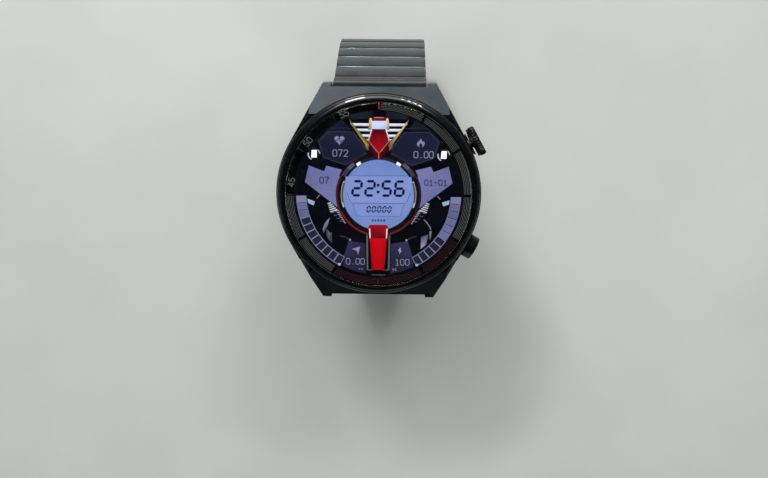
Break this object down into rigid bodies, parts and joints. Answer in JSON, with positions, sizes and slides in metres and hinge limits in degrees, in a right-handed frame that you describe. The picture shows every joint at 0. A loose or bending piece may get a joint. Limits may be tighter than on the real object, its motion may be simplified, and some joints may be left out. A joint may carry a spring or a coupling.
{
  "type": "smartwatch",
  "caption": "Round smartwatch with a lit display, a turning push crown, a side button and a full-width-link metal bracelet closed by a fold-over clasp.",
  "frame": {"origin": "on the case axis, on the flat outer face of the closed clasp that the watch stands on", "axes": "+Z is the dial normal, up out of the glass; +Y points to 12 o'clock; +X points to 3 o'clock, the crown side"},
  "size_m": [0.0472, 0.0652, 0.0694],
  "materials": {
    "case_metal": "satin gunmetal coating over fine-brushed metal",
    "back_plate": "fine matt",
    "steel": "turned",
    "rubber": "matt",
    "sensor_glass": "polished",
    "circuit_board": "solder mask",
    "contact_gold": "plated",
    "battery_wrap": "foil",
    "chip_black": "matt",
    "inner_plastic": "moulded",
    "display": "lit panel",
    "cover_glass": "polished",
    "bezel_black": "polished black",
    "dark_metal": "satin",
    "crown_black": "satin black, knurled",
    "crown_red": "anodised red",
    "bracelet_metal": "brushed gunmetal coating",
    "blade_steel": "polished and brushed"
  },
  "bodies": {
    "case": {"case_middle": "case_metal", "case_back": "back_plate", "back_screws": "steel", "back_gasket": "rubber", "sensor_window": "sensor_glass", "sensor_board": "circuit_board", "charge_pads": "contact_gold", "battery": "battery_wrap", "main_board": "circuit_board", "board_chips": "chip_black", "vibration_motor": "steel", "speaker": "chip_black", "inner_frame": "inner_plastic", "display_panel": "display", "display_gasket": "rubber", "cover_glass": "cover_glass", "bezel_ring": "bezel_black", "crown_tube": "dark_metal", "button_tube": "dark_metal", "stem_seals": "rubber", "crown_switch": "chip_black", "button_switch": "chip_black", "spring_bars": "steel", "crown_spring": "steel", "button_spring": "steel"},
    "crown_cup": {"crown_cup": "contact_gold"},
    "crown": {"crown_cap": "crown_black", "crown_ring": "crown_red", "crown_stem": "steel"},
    "button": {"button_cap": "crown_black", "button_clip": "steel"},
    "end_link_12": {"end_link_12": "bracelet_metal"},
    "link_12_1": {"link_12_1": "bracelet_metal"},
    "link_12_2": {"link_12_2": "bracelet_metal"},
    "link_12_3": {"link_12_3": "bracelet_metal"},
    "link_12_4": {"link_12_4": "bracelet_metal"},
    "link_12_5": {"link_12_5": "bracelet_metal"},
    "link_12_6": {"link_12_6": "bracelet_metal"},
    "link_12_7": {"link_12_7": "bracelet_metal"},
    "link_12_8": {"link_12_8": "bracelet_metal"},
    "link_12_9": {"link_12_9": "bracelet_metal"},
    "end_link_6": {"end_link_6": "bracelet_metal"},
    "link_6_1": {"link_6_1": "bracelet_metal"},
    "link_6_2": {"link_6_2": "bracelet_metal"},
    "link_6_3": {"link_6_3": "bracelet_metal"},
    "link_6_4": {"link_6_4": "bracelet_metal"},
    "link_6_5": {"link_6_5": "bracelet_metal"},
    "link_6_6": {"link_6_6": "bracelet_metal"},
    "link_6_7": {"link_6_7": "bracelet_metal"},
    "link_6_8": {"link_6_8": "bracelet_metal"},
    "link_6_9": {"link_6_9": "bracelet_metal"},
    "clasp_cover": {"clasp_cover": "bracelet_metal", "clasp_pins": "steel"},
    "clasp_blade_outer": {"clasp_blade_outer": "blade_steel"},
    "clasp_blade_inner": {"clasp_blade_inner": "blade_steel"},
    "clasp_pusher_right": {"clasp_pusher_right": "dark_metal"},
    "clasp_pusher_left": {"clasp_pusher_left": "dark_metal"}
  },
  "joints": [
    {"name": "crown_push", "type": "slide", "parent": "case", "child": "crown_cup", "axis": [-0.8742, -0.4856, 0], "range_m": [0, 0.0006], "stiffness_N_per_m": 400, "springref_m": -0.0005, "deforming": ["crown_spring"]},
    {"name": "crown_turn", "type": "hinge", "parent": "crown_cup", "child": "crown", "pos_m": [0.01768, 0.00936, 0.0633], "axis": [0.8742, 0.4856, 0], "continuous": true},
    {"name": "button_push", "type": "slide", "parent": "case", "child": "button", "axis": [-0.8742, 0.4856, 0], "range_m": [0, 0.0005], "stiffness_N_per_m": 400, "springref_m": -0.0005, "deforming": ["button_spring"]},
    {"name": "end_link_12_swing", "type": "hinge", "parent": "case", "child": "end_link_12", "pos_m": [0, 0.0227, 0.0618], "axis": [1, 0, 0], "range_deg": [0, 35]},
    {"name": "link_12_1_bend", "type": "hinge", "parent": "end_link_12", "child": "link_12_1", "pos_m": [0, 0.02371, 0.0549], "axis": [1, 0, 0], "range_deg": [0, 5]},
    {"name": "link_12_2_bend", "type": "hinge", "parent": "link_12_1", "child": "link_12_2", "pos_m": [0, 0.02564, 0.04859], "axis": [1, 0, 0], "range_deg": [0, 5]},
    {"name": "link_12_3_bend", "type": "hinge", "parent": "link_12_2", "child": "link_12_3", "pos_m": [0, 0.02757, 0.04228], "axis": [1, 0, 0], "range_deg": [0, 7]},
    {"name": "link_12_4_bend", "type": "hinge", "parent": "link_12_3", "child": "link_12_4", "pos_m": [0, 0.02928, 0.0359], "axis": [1, 0, 0], "range_deg": [0, 10]},
    {"name": "link_12_5_bend", "type": "hinge", "parent": "link_12_4", "child": "link_12_5", "pos_m": [0, 0.03043, 0.0294], "axis": [1, 0, 0], "range_deg": [0, 12]},
    {"name": "link_12_6_bend", "type": "hinge", "parent": "link_12_5", "child": "link_12_6", "pos_m": [0, 0.03077, 0.02281], "axis": [1, 0, 0], "range_deg": [0, 18]},
    {"name": "link_12_7_bend", "type": "hinge", "parent": "link_12_6", "child": "link_12_7", "pos_m": [0, 0.02962, 0.01631], "axis": [1, 0, 0], "range_deg": [0, 23]},
    {"name": "link_12_8_bend", "type": "hinge", "parent": "link_12_7", "child": "link_12_8", "pos_m": [0, 0.02653, 0.01049], "axis": [1, 0, 0], "range_deg": [0, 24]},
    {"name": "link_12_9_bend", "type": "hinge", "parent": "link_12_8", "child": "link_12_9", "pos_m": [0, 0.0217, 0.00598], "axis": [1, 0, 0], "range_deg": [0, 24]},
    {"name": "end_link_6_swing", "type": "hinge", "parent": "case", "child": "end_link_6", "pos_m": [0, -0.0227, 0.0618], "axis": [-1, 0, 0], "range_deg": [0, 35]},
    {"name": "link_6_1_bend", "type": "hinge", "parent": "end_link_6", "child": "link_6_1", "pos_m": [0, -0.02371, 0.0549], "axis": [-1, 0, 0], "range_deg": [0, 5]},
    {"name": "link_6_2_bend", "type": "hinge", "parent": "link_6_1", "child": "link_6_2", "pos_m": [0, -0.02564, 0.04859], "axis": [-1, 0, 0], "range_deg": [0, 5]},
    {"name": "link_6_3_bend", "type": "hinge", "parent": "link_6_2", "child": "link_6_3", "pos_m": [0, -0.02757, 0.04228], "axis": [-1, 0, 0], "range_deg": [0, 7]},
    {"name": "link_6_4_bend", "type": "hinge", "parent": "link_6_3", "child": "link_6_4", "pos_m": [0, -0.02928, 0.0359], "axis": [-1, 0, 0], "range_deg": [0, 10]},
    {"name": "link_6_5_bend", "type": "hinge", "parent": "link_6_4", "child": "link_6_5", "pos_m": [0, -0.03043, 0.0294], "axis": [-1, 0, 0], "range_deg": [0, 12]},
    {"name": "link_6_6_bend", "type": "hinge", "parent": "link_6_5", "child": "link_6_6", "pos_m": [0, -0.03077, 0.02281], "axis": [-1, 0, 0], "range_deg": [0, 18]},
    {"name": "link_6_7_bend", "type": "hinge", "parent": "link_6_6", "child": "link_6_7", "pos_m": [0, -0.02962, 0.01631], "axis": [-1, 0, 0], "range_deg": [0, 23]},
    {"name": "link_6_8_bend", "type": "hinge", "parent": "link_6_7", "child": "link_6_8", "pos_m": [0, -0.02653, 0.01049], "axis": [-1, 0, 0], "range_deg": [0, 24]},
    {"name": "link_6_9_bend", "type": "hinge", "parent": "link_6_8", "child": "link_6_9", "pos_m": [0, -0.0217, 0.00598], "axis": [-1, 0, 0], "range_deg": [0, 24]},
    {"name": "clasp_cover_bend", "type": "hinge", "parent": "link_12_9", "child": "clasp_cover", "pos_m": [0, 0.01567, 0.0033], "axis": [1, 0, 0], "range_deg": [0, 29]},
    {"name": "clasp_unfold", "type": "hinge", "parent": "clasp_cover", "child": "clasp_blade_outer", "pos_m": [0, -0.0133, 0.00115], "axis": [1, 0, 0], "range_deg": [0, 90]},
    {"name": "clasp_fold", "type": "hinge", "parent": "clasp_blade_outer", "child": "clasp_blade_inner", "pos_m": [0, 0.0126, 0.00235], "axis": [-1, 0, 0], "range_deg": [0, 95]},
    {"name": "clasp_pusher_right_push", "type": "slide", "parent": "clasp_cover", "child": "clasp_pusher_right", "axis": [-1, 0, 0], "range_m": [0, 0.0004], "stiffness_N_per_m": 400, "springref_m": -0.0005},
    {"name": "clasp_pusher_left_push", "type": "slide", "parent": "clasp_cover", "child": "clasp_pusher_left", "axis": [1, 0, 0], "range_m": [0, 0.0004], "stiffness_N_per_m": 400, "springref_m": -0.0005}
  ]
}
